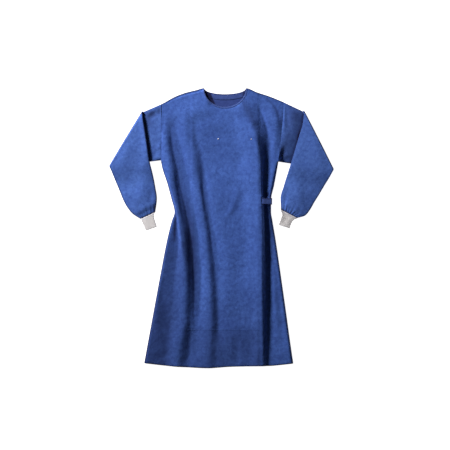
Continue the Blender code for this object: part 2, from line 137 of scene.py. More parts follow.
# Smaller creases: from (x0, y0) to (x1, y1), bowed sideways by bow, so wide and so high
Crease = namedtuple("Crease", "x0 y0 x1 y1 bow width rise")
FRONT_CREASES = rows_of(
    Crease,
    (-242, 520, -142, 0, 0, 17, -2.6),  # sharper foot of the left fold
    (-200, 250, -160, 10, 3, 8, -2.2),
    (-213, 480, -104, -400, -20, 28, -5.0),
    (-139, 537, -14, -531, -30, 16, -2.6),  # and of the middle fold
    (-88, 240, -66, 40, 2, 6, -1.2),
    (112, 520, 168, 200, -14, 12, 2.0),  # crisp crest of the deep fold
    (160, 270, 174, -590, -5, 12, 2.2),
    (152, 545, 206, 385, -10, 8, -3.0),  # top of the deep fold
    (120, 600, 150, 450, -4, 24, 3.0),
    (84, 600, 84, 480, 0, 34, 3.0),
    (160, 590, 258, 360, -46, 9, -4.0),  # arc inside the right armhole
    (-262, 535, -258, 470, 0, 5, -1.6),  # pucker at the top of the left armhole
    (-40, 230, 60, 170, 12, 30, -1.6),  # dents over the belly
    (72, 175, 20, 40, -8, 14, 1.8),
    (104, 160, 66, 70, -6, 16, -1.4),
    (120, 330, 60, 250, 8, 26, -1.6),
    (215, 175, 194, 135, 4, 5, 3.0),  # puckers where the belt gathers the side
    (221, 180, 208, 136, 3, 4.5, -2.5),
    (226, 165, 214, 134, 2, 4, 2.5),
    (196, 96, 214, 40, -3, 6, 3.0),
    (207, 97, 226, 20, -2, 5, -2.0),
    (-300, -330, -250, -560, 6, 22, 2.5),  # slow waves at the left of the skirt
    (-280, -250, -215, -470, -6, 20, -2.0),
    (60, -120, 80, -420, 12, 30, -1.8),
    (20, -40, 45, -300, -8, 24, 1.6),
    (120, -80, 130, -380, 6, 18, 1.4),
    (225, -150, 245, -420, 4, 12, 2.0),
    (250, -300, 270, -540, -3, 14, -1.8),
    (-20, -460, 0, -600, 4, 14, 2.0),
    (60, -470, 70, -600, -3, 16, -2.0),
)

# Painted shade in and beside the folds: here rise is how much darker it is painted
FRONT_PAINTED_SHADES = rows_of(
    Crease,
    (-246, 570, -124, -400, -20, 17, 0.9),
    (-152, 160, -113, -367, -8, 20, 1.5),
    (-149, 560, -25, -531, -30, 14, 0.6),
    (-199, 84, -207, -70, 0, 7, 2.4),  # under the end of the left waist
    (70, 606, 166, 410, 4, 15, 1.3),  # from the right neck point
    (160, 592, 258, 360, -46, 7, 1.1),
)

# Soft unevenness all over the front: height (mm), how many cells each way, and seed
CRUMPLES = ((0.9, (26, 14), 5), (0.28, (90, 50), 6))

# The left side of the neck stands up from the back
NECK_STAND = (Crease(-90, 660, -50, 540, 10, 10, 6),)

# Patches of painted shade, as in hollows of the cloth: centre, reach and how much darker
Hollow = namedtuple("Hollow", "x y reach_x reach_y depth")
SLEEVE_LEFT_HOLLOWS = rows_of(
    Hollow,
    (-303, 497, 18, 15, 1.6),
    (-272, 512, 9, 18, 1.6),
    (-318, 468, 14, 30, 1.1),
)
LOWER_LEFT_HOLLOWS = (Hollow(-291, 90, 9, 16, 2.2),)
SLEEVE_RIGHT_HOLLOWS = rows_of(
    Hollow,
    (266, 334, 10, 40, 1.4),
    (322, 486, 24, 34, 0.6),
    (340, 400, 14, 26, 0.8),
)
# Painted shade at the puckers
PUCKERS = (  # just above the belt
    Hollow(198, 147, 9, 11, 2.0),
    Hollow(211, 139, 9, 5, 1.8),
)

# Back panels and belt (mm)
OUTER_FREE_EDGE = 150.0
INNER_FREE_EDGE = -120.0
BACK_ROWS, BACK_COLUMNS = 150, 90
TOP_GUESS = 560.0  # where the search for a back panel's top edge starts
STEP_RAMP = 16.0
STEP_MARGIN = 4.0
BELT_TOP = 131.0
BELT_WIDTH = 29.0
BELT_START = 177.0
BELT_STANDS_OUT = 4.0
BELT_FALL = 6.0  # how far it drops from the front's fold to the right edge
BELT_UNDER_END = OUTER_FREE_EDGE + 2.0
BELT_OVER, BELT_TURN, BELT_UNDER = 26, 10, 10  # points along the belt's three parts
BELT_ROWS = 15

# Sleeves and cuffs (mm)
SLEEVE_HEIGHT = 6.5
SLEEVE_EDGE = 5.0
FOLD_CENTRE = SLEEVE_HEIGHT + 0.5  # height of the fold's axis
SLEEVE_STRIPS = 44  # faces across one layer
ARMHOLE_TOP = 545.0  # height near which the armhole meets the shoulder
# Rows of a sleeve: shares of its upper part, degrees round the fold, shares of its lower part
UPPER_SHARES = (0, 0.004, 0.012, *np.linspace(0.03, 1, 26)[:-1])
FOLD_ANGLES = np.linspace(0, 180, 16)
LOWER_SHARES = (*np.linspace(0.012, 0.7, 52), *np.linspace(0.71, 1, 44))
SETTLE_START = 4.0  # past the underarm, where the lower part starts to come down
SETTLE_END = 95.0
Chord = namedtuple("Chord", "share inner_x inner_y outer_x outer_y")
LOWER_LEFT = rows_of(
    Chord,
    (0.0, -347, 511, -491, 273),
    (0.15, -336, 445, -477, 240),
    (0.3, -326, 380, -463, 205),
    (0.5, -313, 290, -443, 157),
    (0.65, -300, 236, -428, 120),
    (0.8, -289, 179, -410, 88),
    (0.9, -282, 129, -390, 64),
    (1.0, -289, 71, -355, 41),
)
LOWER_RIGHT = rows_of(
    Chord,
    (0.0, 362, 513, 491, 258),
    (0.15, 354, 454, 471, 221),
    (0.3, 339, 402, 451, 188),
    (0.5, 312, 312, 425, 144),
    (0.65, 292, 249, 405, 112),
    (0.8, 272, 184, 386, 79),
    (0.9, 258, 131, 364, 54),
    (1.0, 260, 81, 331, 44),
)
CUFF_LEFT = rows_of(
    Chord,
    (0.0, -290, 70, -353, 40),
    (0.25, -296, 55, -347, 27),
    (1.0, -283, 6, -330, -10),
)
CUFF_RIGHT = rows_of(
    Chord,
    (0.0, 259, 83, 332, 43),
    (0.22, 265, 57, 316, 36),
    (0.4, 261, 46, 308, 27),
    (1.0, 249, 15, 297, -1),
)
CUFF_HEIGHT = 6.0
CUFF_EDGE = 5.0
CUFF_STRIPS = 168
CUFF_SHARES = (-0.06, *np.linspace(0, 1, 34))  # the first row is up inside the sleeve
TUCKED_AT = 0.97  # where that row is, as a share of the sleeve's lower part
RIBS = 22  # ribs across one layer of a cuff
RIB_HEIGHT = 0.14
CUFF_LIFT = 0.4
SEAM_WIDTH = 5.5  # the overlocked seam at the top of a cuff
SEAM_LOOP = 2.4
KNIT_ROW = 1.8  # length of a knit stitch along a rib

# Pleats gathered into the cuff: place across the sleeve, share of its length, depth and width
Pleat = namedtuple("Pleat", "across length depth width")
PLEATS_LEFT = rows_of(
    Pleat,
    (0.12, 0.09, 1.6, 4.0),
    (0.24, 0.12, 2.4, 4.4),
    (0.37, 0.08, 1.4, 3.4),
    (0.46, 0.17, 2.8, 5.0),
    (0.60, 0.10, 2.6, 4.2),
    (0.73, 0.21, 3.6, 5.4),
    (0.84, 0.09, 1.6, 3.6),
    (0.93, 0.14, 2.4, 4.0),
)
PLEATS_RIGHT = rows_of(
    Pleat,
    (0.08, 0.12, 1.8, 4.0),
    (0.19, 0.20, 3.2, 5.2),
    (0.33, 0.10, 2.6, 4.0),
    (0.44, 0.15, 2.4, 4.6),
    (0.56, 0.20, 3.0, 5.2),
    (0.69, 0.11, 2.0, 4.0),
    (0.80, 0.16, 2.4, 4.6),
    (0.91, 0.09, 1.4, 3.6),
)
SLEEVE_LEFT_CREASES = rows_of(
    Crease,
    (-262, 350, -305, 300, 4, 7, -3.0),  # upper sleeve, towards the underarm
    (-262, 372, -298, 312, -4, 8, 2.5),
    (-262, 510, -330, 470, 6, 14, -2.5),
    (-390, 380, -440, 260, 10, 26, 2.0),  # lower sleeve
    (-340, 330, -420, 200, -8, 30, -1.8),
    (-320, 230, -360, 110, 6, 22, 2.2),
    (-440, 190, -330, 150, -10, 20, -1.5),
    (-300, 170, -310, 90, 4, 12, -2.0),
)
SLEEVE_RIGHT_CREASES = rows_of(
    Crease,
    (272, 550, 274, 425, 0, 4.5, 1.6),
    (284, 540, 290, 420, -2, 8, -1.6),
    (258, 300, 300, 330, 2, 10, 1.5),
    (400, 400, 440, 260, -8, 26, 2.0),
    (340, 330, 400, 170, 8, 28, -1.8),
    (310, 220, 350, 100, -6, 20, 2.2),
    (290, 180, 280, 100, 4, 12, -2.0),
)

# What differs between the sleeves. blouse, rise and stand (mm): how far the lower part, the
# upper part and the lower part's inner edge bulge up; fall_top and fall_foot (mm): how far from
# the armhole the upper part has come down. dark, edge and shadow: how much painted shade darkens
# the upper part away from the armhole, the edges, and the lower part along its inner edge.
Sleeve = namedtuple(
    "Sleeve",
    "name side lower underarm pleats creases hollows lower_hollows "
    "blouse rise stand fall_top fall_foot dark edge shadow",
)
SLEEVES = (
    Sleeve("sleeve_left", -1, LOWER_LEFT, 296.0, PLEATS_LEFT, SLEEVE_LEFT_CREASES,
           SLEEVE_LEFT_HOLLOWS, LOWER_LEFT_HOLLOWS, 4.0, 1.0, 5.0, 42, 42, 0.4, 0.9, 1.3),
    Sleeve("sleeve_right", 1, LOWER_RIGHT, 290.0, PLEATS_RIGHT, SLEEVE_RIGHT_CREASES,
           SLEEVE_RIGHT_HOLLOWS, (), 3.0, 3.0, 0.0, 55, 12, 1.2, 0.6, 0.0),
)

# Stitches and tacks (mm)
STITCH_RINGS = ((0, 0.35), (0.25, 1), (0.75, 1), (1, 0.35))  # share of length, of width
STITCH_SIDES = 6
STITCH_WIDTH = 0.28
STITCH_RISE = 0.2
TACKS = ((-14.0, 389.0), (130.0, 386.0))
TACK_RINGS = ((3.2, 0.1), (2.6, 0.9), (1.4, 1.2))  # radius and height
TACK_SIDES = 12

# Camera, floor and light, in metres and watts, with lens and sensor in millimetres
FRAME_WIDTH = 1.962  # of the surface, across the picture
CAMERA_X, CAMERA_Y = 0.0153, 0.0135
CAMERA_LENS, CAMERA_SENSOR = 100, 36
CLOTH_MIDDLE = 0.012  # height at which the frame is that wide
FLOOR_HALF = 40.0
FLOOR_DEPTH = 0.0006
KEY_PLACE = (-2.94, 3.37, 1.52)
KEY_SIZE = 0.75
KEY_POWER = 385
SKY_STRENGTH = 0.04


def smooth(places, values, at):
    """A monotone cubic through (places, values), for an array of places at."""
    places, values = np.asarray(places, float), np.asarray(values, float)
    step = np.diff(places)
    slope = np.diff(values) / step
    near, far = 2 * step[1:] + step[:-1], step[1:] + 2 * step[:-1]
    same = slope[:-1] * slope[1:] > 0
    safe = [np.where(same, s, 1.0) for s in (slope[:-1], slope[1:])]
    inside = np.where(same, (near + far) / (near / safe[0] + far / safe[1]), 0.0)
    tangent = np.concatenate([slope[:1], inside, slope[-1:]])
    at = np.clip(np.asarray(at, float), places[0], places[-1])
    i = np.clip(np.searchsorted(places, at, side="right") - 1, 0, len(step) - 1)
    t = (at - places[i]) / step[i]
    start = values[i] * (1 + 2 * t) + step[i] * tangent[i] * t
    end = values[i + 1] * (3 - 2 * t) + step[i] * tangent[i + 1] * (t - 1)
    return start * (1 - t) ** 2 + end * t * t


def ease(value, start, end):
    """0 up to start, 1 from end on and a soft step between them."""
    t = np.clip((value - start) / (end - start), 0.0, 1.0)
    return t * t * (3 - 2 * t)


def lerp(a, b, t):
    return a + (b - a) * t


def fade(away, reach):
    """1 at a place, falling to a third of that at reach from it."""
    return np.exp(-((away / reach) ** 2))


def by_height(table, y):
    """The lines of a section table at heights y: an array of lines by heights."""
    rows = table[::-1]
    heights = [row.y for row in rows]
    return np.array([smooth(heights, [r[k] for r in rows], y) for k in range(1, len(rows[0]))])


def shoulder_y(x):
    return smooth(*zip(*SHOULDER), x)


def neck_y(x, depth):
    """The top edge at x, with a neckline that dips by depth."""
    across = np.clip((x - NECK_X) / NECK_HALF, -1, 1)
    inside = np.abs(across) < 1
    return np.where(inside, NECK_TOP - depth * np.sqrt(1 - across**2), shoulder_y(x))


def body_edges(y):
    places = by_height(FOLD_PLACES, np.atleast_1d(y))
    return places[0], places[-1]


def edge_x(y, side):
    left, right = body_edges(y)
    return left if side < 0 else right


def back_lift(x, y):
    """How far the inner back panel is lifted by the outer one and by the belt."""
    reach = STEP_RAMP + STEP_MARGIN
    over_panel = ease(OUTER_FREE_EDGE + reach - x, 0, STEP_RAMP)
    inside_top = ease(BELT_TOP + reach - y, 0, STEP_RAMP)
    inside_bottom = ease(y - (BELT_TOP - BELT_WIDTH - reach), 0, STEP_RAMP)
    return LAYER * np.maximum(over_panel, inside_top * inside_bottom)


def back_top(x, y):
    reach = STEP_RAMP + STEP_MARGIN
    return WALL + ease(x, INNER_FREE_EDGE - reach, INNER_FREE_EDGE - STEP_MARGIN) * back_lift(x, y)


def creased(x, y, creases):
    """Sum of the creases at points (x, y): soft ridges and troughs that fade at their ends."""
    total = np.zeros(np.broadcast(x, y).shape)
    for c in creases:
        run_x, run_y = c.x1 - c.x0, c.y1 - c.y0
        length = math.hypot(run_x, run_y)
        along = ((x - c.x0) * run_x + (y - c.y0) * run_y) / length**2
        aside = ((x - c.x0) * run_y - (y - c.y0) * run_x) / length
        t = np.clip(along, 0, 1)
        past = (along - t) * length
        away = np.hypot(aside - c.bow * 4 * t * (1 - t), past)
        total += c.rise * fade(away, c.width) * np.sin(math.pi * t) ** 0.7
    return total


def hollow_shade(x, y, hollows):
    """How much darker the patches of painted shade make the cloth at points (x, y)."""
    total = np.zeros(np.broadcast(x, y).shape)
    for h in hollows:
        away = ((x - h.x) / h.reach_x) ** 2 + ((y - h.y) / h.reach_y) ** 2
        total += h.depth * np.exp(-away)
    return total


def soft_noise(shape, cells, seed):
    """A smooth random field of values near -1 to 1, with about so many cells each way."""
    rng = np.random.default_rng(seed)
    coarse = rng.uniform(-1, 1, (cells[0] + 3, cells[1] + 3))
    rows = np.linspace(0, cells[0], shape[0])
    columns = np.linspace(0, cells[1], shape[1])

    def blend(values, at):
        i = np.minimum(at.astype(int), values.shape[0] - 4)
        t = (at - i)[:, None]
        w = (
            (1 - t) ** 3 / 6,
            (3 * t**3 - 6 * t**2 + 4) / 6,
            (-3 * t**3 + 3 * t**2 + 3 * t + 1) / 6,
            t**3 / 6,
        )
        return sum(w[k] * values[i + k] for k in range(4))

    return 1.6 * blend(blend(coarse, rows).T, columns).T


class HeightMap:
    """The underside of the front, worked out once on a fine grid and read between its points."""

    STEP = 2.0

    def __init__(self):
        self.x = np.arange(-346.0, 346.1, self.STEP)
        self.y = np.arange(-622.0, 622.1, self.STEP)
        places = by_height(FOLD_PLACES, self.y)
        rises = by_height(FOLD_RISES, self.y)
        rise = np.array([smooth(p, r, self.x) for p, r in zip(places.T, rises.T)])
        x, y = np.meshgrid(self.x, self.y)
        left, right = places[0][:, None], places[-1][:, None]
        inside = np.minimum(x - left, right - x)
        inward = ease(inside, 0, 26)
        seam = ease(y, ARMHOLE_FOOT - 20, ARMHOLE_FOOT)
        rise += creased(x, y, FRONT_CREASES) * np.maximum(inward, 0.25)
        for height, cells, seed in CRUMPLES:
            rise += height * soft_noise(rise.shape, cells, seed) * inward
        rise = np.maximum(rise, 0.6)
        rolled = np.sqrt(1 - (1 - np.clip(inside / EDGE_ROLL, 0.02, 1)) ** 2)
        rise *= lerp(rolled, 1.0, seam)
        rise *= ease(shoulder_y(x) - y, -SHOULDER_ROUNDING / 4, SHOULDER_ROUNDING)
        rise += creased(x, y, NECK_STAND) * ease(shoulder_y(x) - y, 0, 16)
        self.z = back_top(x, y) + SEAM_GAP + rise

    def at(self, x, y):
        """Height of the underside at points (x, y)."""
        i = np.clip((np.asarray(y) - self.y[0]) / self.STEP, 0, len(self.y) - 2.001)
        j = np.clip((np.asarray(x) - self.x[0]) / self.STEP, 0, len(self.x) - 2.001)
        i0, j0 = i.astype(int), j.astype(int)
        u, v = i - i0, j - j0
        z = self.z
        low = z[i0, j0] * (1 - v) + z[i0, j0 + 1] * v
        high = z[i0 + 1, j0] * (1 - v) + z[i0 + 1, j0 + 1] * v
        return low * (1 - u) + high * u

    def steep(self, x, y):
        """How much longer the slope is than its plan there."""
        d = 3.0
        dx = (self.at(x + d, y) - self.at(x - d, y)) / (2 * d)
        dy = (self.at(x, y + d) - self.at(x, y - d)) / (2 * d)
        return np.sqrt(1 + dx * dx + dy * dy)

    def over(self, x, y, height):
        """Height of a surface that lies height millimetres out from the underside."""
        return self.at(x, y) + height * self.steep(x, y)


# Materials


class Shader:
    """A material with one Principled shader, and short ways to add nodes to it."""

    def __init__(self, name, colour, roughness):
        self.material = bpy.data.materials.new(name)
        self.material.use_nodes = True
        self.material.diffuse_color = (*colour, 1)
        self.inputs = self.material.node_tree.nodes["Principled BSDF"].inputs
        self.give(self.inputs, {"Base Color": colour, "Roughness": roughness})

    def give(self, sockets, values):
        """Link each socket to an output, or set it to a number, vector or colour."""
        for key, value in values.items():
            if isinstance(value, bpy.types.NodeSocket):
                self.material.node_tree.links.new(value, sockets[key])
            elif sockets[key].type == "RGBA":
                sockets[key].default_value = (*value, 1)
            else:
                sockets[key].default_value = value

    def add(self, kind, values=None, **settings):
        node = self.material.node_tree.nodes.new("ShaderNode" + kind)
        for setting, value in settings.items():
            setattr(node, setting, value)
        self.give(node.inputs, values or {})
        return node

    def place(self):
        return self.add("TexCoord").outputs["Object"]

    def attribute(self, name):
        return self.add("Attribute", attribute_name=name).outputs["Fac"]

    def noise(self, place, scale, detail, roughness, distortion=0.0):
        values = {"Vector": place, "Scale": scale, "Detail": detail, "Roughness": roughness,
                  "Distortion": distortion}
        return self.add("TexNoise", values).outputs["Fac"]

    def stretch(self, value, low, high, to_low, to_high):
        values = {"Value": value, "From Min": low, "From Max": high, "To Min": to_low,
                  "To Max": to_high}
        return self.add("MapRange", values).outputs["Result"]

    def maths(self, operation, a, b=0):
        return self.add("Math", {0: a, 1: b}, operation=operation).outputs[0]

    def mix(self, factor, a, b):
        """Colour a with b over it; the numbers are the Mix node's colour sockets."""
        return self.add("Mix", {0: factor, 6: a, 7: b}, data_type="RGBA").outputs[2]

    def bump(self, height, distance, strength, under=None):
        values = {"Height": height, "Distance": distance, "Strength": strength}
        if under is not None:
            values["Normal"] = under
        return self.add("Bump", values).outputs["Normal"]


def cloth_material(name, colour, light, dark):
    """Matte nonwoven: cloudy mottling, fine fibres, point bonds and a soft crumple, with painted
    shade from the rim and along attributes.
    """
    shader = Shader(name, colour, 0.88)
    place = shader.place()
    clouds = shader.stretch(shader.noise(place, 70, 4, 0.6, 0.4), 0.3, 0.7, 0, 1)
    specks = shader.stretch(shader.noise(place, 300, 3, 0.65), 0.35, 0.65, 0, 1)
    broad = shader.stretch(shader.noise(place, 9, 2, 0.5), 0.3, 0.7, 0, 1)
    tint = shader.mix(clouds, dark, light)
    tint = shader.mix(shader.maths("MULTIPLY", specks, 0.35), tint, light)
    tint = shader.mix(shader.maths("MULTIPLY", broad, 0.30), tint, dark)
    # Painted shade: the rim attribute darkens edges, folds and seams towards a third of the colour
    tint = shader.mix(shader.attribute("rim"), tint, tuple(0.35 * c for c in colour))
    # Painted shade and shadow: the along attribute darkens towards a near-black blue; the front's
    # darker parts use it too
    darker = shader.maths("MULTIPLY", shader.attribute("along"), 0.32)
    tint = shader.mix(darker, tint, (0.004, 0.001, 0.03))
    fibres = shader.add(
        "Mapping", {"Vector": place, "Scale": (1.0, 0.22, 1.0), "Rotation": (0, 0, 0.5)})
    fine = shader.noise(fibres.outputs["Vector"], 1400, 2, 0.6, 1.0)
    bonds = shader.add("TexVoronoi", {"Vector": place, "Scale": 420, "Randomness": 0.15})
    pits = shader.stretch(bonds.outputs["Distance"], 0.0, 0.35, 0.0, 1.0)
    normal = shader.bump(shader.noise(place, 34, 3, 0.55, 0.3), 0.004, 0.30)
    normal = shader.bump(fine, 0.0004, 0.5, normal)
    normal = shader.bump(pits, 0.00025, 0.35, normal)
    shader.give(shader.inputs, {
        "Base Color": tint,
        "Normal": normal,
        "Roughness": shader.stretch(specks, 0, 1, 0.82, 0.95),
        "Specular IOR Level": 0.18,
        "Sheen Weight": 0.12,
        "Sheen Roughness": 0.5,
        "Sheen Tint": (0.55, 0.62, 1.0),
    })
    return shader.material


def knit_material():
    """Knitted rib: the ribs are modelled, the stitches along them and the fuzz are here, with
    painted shade from the rim attribute.
    """
    shader = Shader("knit_cuff", (0.66, 0.60, 0.63), 0.9)
    place = shader.place()
    down = shader.attribute("along")
    clouds = shader.stretch(shader.noise(place, 110, 3, 0.6), 0.3, 0.7, 0, 1)
    tint = shader.mix(clouds, (0.91, 0.87, 0.89), (0.98, 0.95, 0.965))
    # Painted shade in the rib grooves, at the sides and edges and under the seam, from the rim
    # attribute
    tint = shader.mix(shader.attribute("rim"), tint, (0.46, 0.42, 0.46))
    seam = shader.stretch(down, SEAM_WIDTH, SEAM_WIDTH + 2.5, 0.8, 0.0)
    tint = shader.mix(seam, tint, (0.92, 0.90, 1.0))
    loops = shader.maths("SINE", shader.maths("MULTIPLY", down, 2 * math.pi / KNIT_ROW))
    normal = shader.bump(loops, 0.0001, 0.15)
    normal = shader.bump(shader.noise(place, 900, 3, 0.6), 0.0001, 0.2, normal)
    shader.give(shader.inputs, {
        "Base Color": tint,
        "Normal": normal,
        "Specular IOR Level": 0.2,
        "Sheen Weight": 0.2,
    })
    return shader.material


def thread_material(name, colour):
    """Twisted thread."""
    shader = Shader(name, colour, 0.7)
    twist = shader.noise(shader.place(), 1500, 2, 0.5)
    tint = shader.mix(twist, tuple(0.75 * c for c in colour), colour)
    shader.give(shader.inputs, {"Base Color": tint, "Normal": shader.bump(twist, 0.0003, 0.5)})
    return shader.material


# Name, plain colour, and the light and the dark of the mottling
CLOTH, SLEEVE, SHADED_INSIDE, BINDING, BAND = (
    cloth_material(*row)
    for row in (
        ("gown_cloth", (0.054, 0.124, 0.46), (0.084, 0.186, 0.63), (0.036, 0.083, 0.35)),
        ("sleeve_cloth", (0.073, 0.162, 0.56), (0.112, 0.237, 0.74), (0.051, 0.114, 0.45)),
        # The back panels' cloth: the gown cloth darkened as painted shade for the inside of the
        # neck
        ("gown_inside_shaded", (0.040, 0.074, 0.30), (0.058, 0.10, 0.37), (0.030, 0.056, 0.24)),
        ("neck_binding", (0.072, 0.132, 0.45), (0.10, 0.175, 0.56), (0.055, 0.10, 0.37)),
        ("neck_band", (0.055, 0.095, 0.35), (0.078, 0.13, 0.43), (0.043, 0.075, 0.29)),
    )
)
KNIT = knit_material()
THREAD = thread_material("blue_thread", (0.10, 0.20, 0.60))
PALE_THREAD = thread_material("pale_thread", (0.88, 0.86, 0.96))


# Meshes


def add_object(name, data):
    thing = bpy.data.objects.new(name, data)
    bpy.context.scene.collection.objects.link(thing)
    return thing


def add_mesh(name, points, faces, material, rim=None, along=None, thickness=SHELL):
    """A smooth-shaded shell from points in millimetres, its underside made by Solidify."""
    mesh = bpy.data.meshes.new(name)
    mesh.from_pydata((np.asarray(points) * MM).tolist(), [], [tuple(f) for f in faces])
    for label, values in (("rim", rim), ("along", along)):
        layer = mesh.attributes.new(label, "FLOAT", "POINT")
        if values is not None:
            layer.data.foreach_set("value", np.asarray(values, np.float32).ravel())
    mesh.shade_smooth()
    mesh.materials.append(material)
    piece = add_object(name, mesh)
    if thickness:
        solid = piece.modifiers.new("Thickness", "SOLIDIFY")
        solid.thickness = thickness * MM
        solid.offset = -1
        solid.use_rim = True
    return piece


def grid_faces(rows, columns, closed=False):
    """Quads of a grid whose rows run down and columns to +X, facing up."""
    r, c = np.meshgrid(np.arange(rows - 1), np.arange(columns - (not closed)), indexing="ij")
    after = (c + 1) % columns
    a, b = r * columns + c, r * columns + after
    d, e = (r + 1) * columns + c, (r + 1) * columns + after
    return np.stack([a, d, e, b], -1).reshape(-1, 4)


def ring_faces(base, rings, count):
    """Faces of a closed form whose rings of count points start at the point base."""
    faces = []
    for first in range(base, base + (rings - 1) * count, count):
        for k in range(count):
            a, b = first + k, first + (k + 1) % count
            faces.append((a, b, b + count, a + count))
    last = base + (rings - 1) * count
    return faces + [range(base + count - 1, base - 1, -1), range(last, last + count)]


def sheet_mesh(name, x, y, z, material, rim=None, along=None, thickness=SHELL):
    points = np.stack([x, y, z], -1).reshape(-1, 3)
    return add_mesh(name, points, grid_faces(*x.shape), material, rim, along, thickness)


def finish_piece(piece, slot, *nodes):
    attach(piece, "root")
    if nodes:
        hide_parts(*nodes)


def neck_columns():
    """Column places: 0 at the left edge, 1 and 2 at the neck points and 3 at the right edge."""
    edge = [0, 0.006, 0.014, 0.026, 0.042]
    side = np.concatenate([edge, np.linspace(0.06, 1, 42)[:-1]])
    neck = 1 + (1 - np.cos(math.pi * np.arange(56) / 56)) / 2
    return np.concatenate([side, neck, 3 - side[:0:-1], [3.0]])


def column_x(columns, left, right):
    """x of each column, for the edges left and right, given once or for each column."""
    stops = np.array([
        stop + 0 * columns for stop in (left, NECK_X - NECK_HALF, NECK_X + NECK_HALF, right)
    ])
    k = np.minimum(columns.astype(int), 2)
    t = columns - k
    index = np.arange(len(columns))
    return stops[k, index] * (1 - t) + stops[k + 1, index] * t


def hem_y(x):
    """The hem's height, which dips under the folds."""
    places = by_height(FOLD_PLACES, np.array([HEM[0]]))[:, 0]
    return smooth(places, HEM, x)


def body_plan(columns):
    """Points of the front seen from above: rows from the top edge down to the hem."""
    x_top = column_x(columns, *body_edges(NECK_TOP))
    top = neck_y(x_top, FRONT_NECK_DEPTH)
    hem = hem_y(x_top).mean()
    rows = []
    for share in np.concatenate([[0, 0.003], np.linspace(0.015, 1, 23)]):
        y = lerp(top, CHEST, share)
        rows.append((column_x(columns, *body_edges(y)), y))
    for share in np.linspace(0, 1, int((CHEST - hem) / CELL) + 1)[1:]:
        x = column_x(columns, *body_edges(lerp(CHEST, hem, share)))
        rows.append((x, lerp(CHEST, hem_y(x), share)))
    return np.array(rows).transpose(1, 0, 2)


def rim_of(x, y):
    """1 at the edges of the front and 0 away from them."""
    left, right = (edge.reshape(x.shape) for edge in body_edges(y.ravel()))
    top = neck_y(x, FRONT_NECK_DEPTH) - y
    side = np.minimum(x - left, right - x) + 4 * ease(y, ARMHOLE_FOOT - 10, ARMHOLE_FOOT)
    near = np.minimum.reduce([side, top, y - hem_y(x)])
    return fade(np.maximum(near, 0), 4.5)


def darker_parts(x, y):
    """How much darker the front is at points (x, y): where it lies in one thin layer below the
    reinforcement's hem, at the left of the skirt, and more and more towards the hem.
    """
    left = body_edges(y.ravel())[0].reshape(x.shape)
    below = ease(-y, -REINFORCEMENT_HEM - 4, -REINFORCEMENT_HEM + 6)
    middle = ease(x, -200, -110) * ease(190 - x, 0, 30)
    lower = 0.5 * ease(-y, 250, 430) * ease(190 - x, 0, 30)
    skirt = ease(-y, -60, 120) * ease(left + 150 - x, 0, 85)
    return np.maximum(0.45 * below * middle, skirt) + lower


def tone_and_painted_shade(x, y):
    """How much darker the front looks at points (x, y): its darker parts and the painted shade in
    and beside the folds.
    """
    return darker_parts(x, y) + creased(x, y, FRONT_PAINTED_SHADES)


def make_front(surface):
    x, y = body_plan(neck_columns())
    edge = rim_of(x, y)
    # The rim and along values paint shade along the edges, in and beside the folds and at the
    # puckers, on top of the front's darker parts
    dark = tone_and_painted_shade(x, y) + hollow_shade(x, y, PUCKERS)
    front = sheet_mesh("front_cloth", x, y, surface.over(x, y, WALL), CLOTH, 0.8 * edge,
                       np.maximum(dark, 2.3 * edge**2))
    finish_piece(front, "gown_cloth", "front_panel", "front_panel_right_side")


def make_reinforcement(surface):
    """The second layer, whose side and top edges sink into the front so that they don't show."""
    rows = np.linspace(CHEST, REINFORCEMENT_HEM + 1.5, int((CHEST - REINFORCEMENT_HEM) / CELL))
    rows = np.concatenate([rows, [REINFORCEMENT_HEM + 0.3, REINFORCEMENT_HEM]])
    places = by_height(FOLD_PLACES, rows)
    left, right = (places[Section._fields.index(line) - 1] for line in ("hollow_l", "lip"))
    share = np.concatenate([[0, 0.001], np.linspace(0.006, 0.994, 108), [0.999, 1]])[None, :]
    x = lerp(left[:, None], right[:, None], share)
    y = np.repeat(rows[:, None], share.shape[1], axis=1)
    top_y = neck_y(x[0], FRONT_NECK_DEPTH) - BINDING_WIDTH - 3
    upper = np.linspace(0, 1, 20)[:-1, None]
    x = np.concatenate([np.repeat(x[:1], len(upper), axis=0), x])
    y = np.concatenate([lerp(top_y[None, :], CHEST, upper), y])
    inward = np.minimum(share, 1 - share)
    lies_over = 0.05 + 0.3 * ease(inward, 0, 0.05) * ease(y - REINFORCEMENT_HEM, 0, 14)
    sunk = 1 - ease(inward, 0, 0.005) * ease(top_y[None, :] - y, 0, 6)
    lies_over = lies_over - 0.4 * sunk
    # Painted shade in and beside the folds, as on the front
    panel = sheet_mesh("reinforcement_cloth", x, y, surface.over(x, y, WALL) + lies_over, CLOTH,
                       None, tone_and_painted_shade(x, y), thickness=0.25)
    finish_piece(panel, "gown_cloth", "front_reinforcement")


def neck_shade(x, y):
    """Painted shadow: 1 in the wedge behind the left side of the neck, which stands up, and 0
    outside it, with painted shade along the back's neck edge and towards the right.
    """
    heights = (530, 541, 563, 585, 605, 615)
    ends = (-20, -28, -37, -46, -62, -70)
    side = np.interp(y, heights, ends)
    top = fade(np.maximum(neck_y(x, BACK_NECK_DEPTH) - y, 0), 2.6)
    right = 0.8 * ease(x, 84, 100)
    return np.maximum.reduce([1 - ease(x, side - 3, side + 5), 0.75 * top, right])


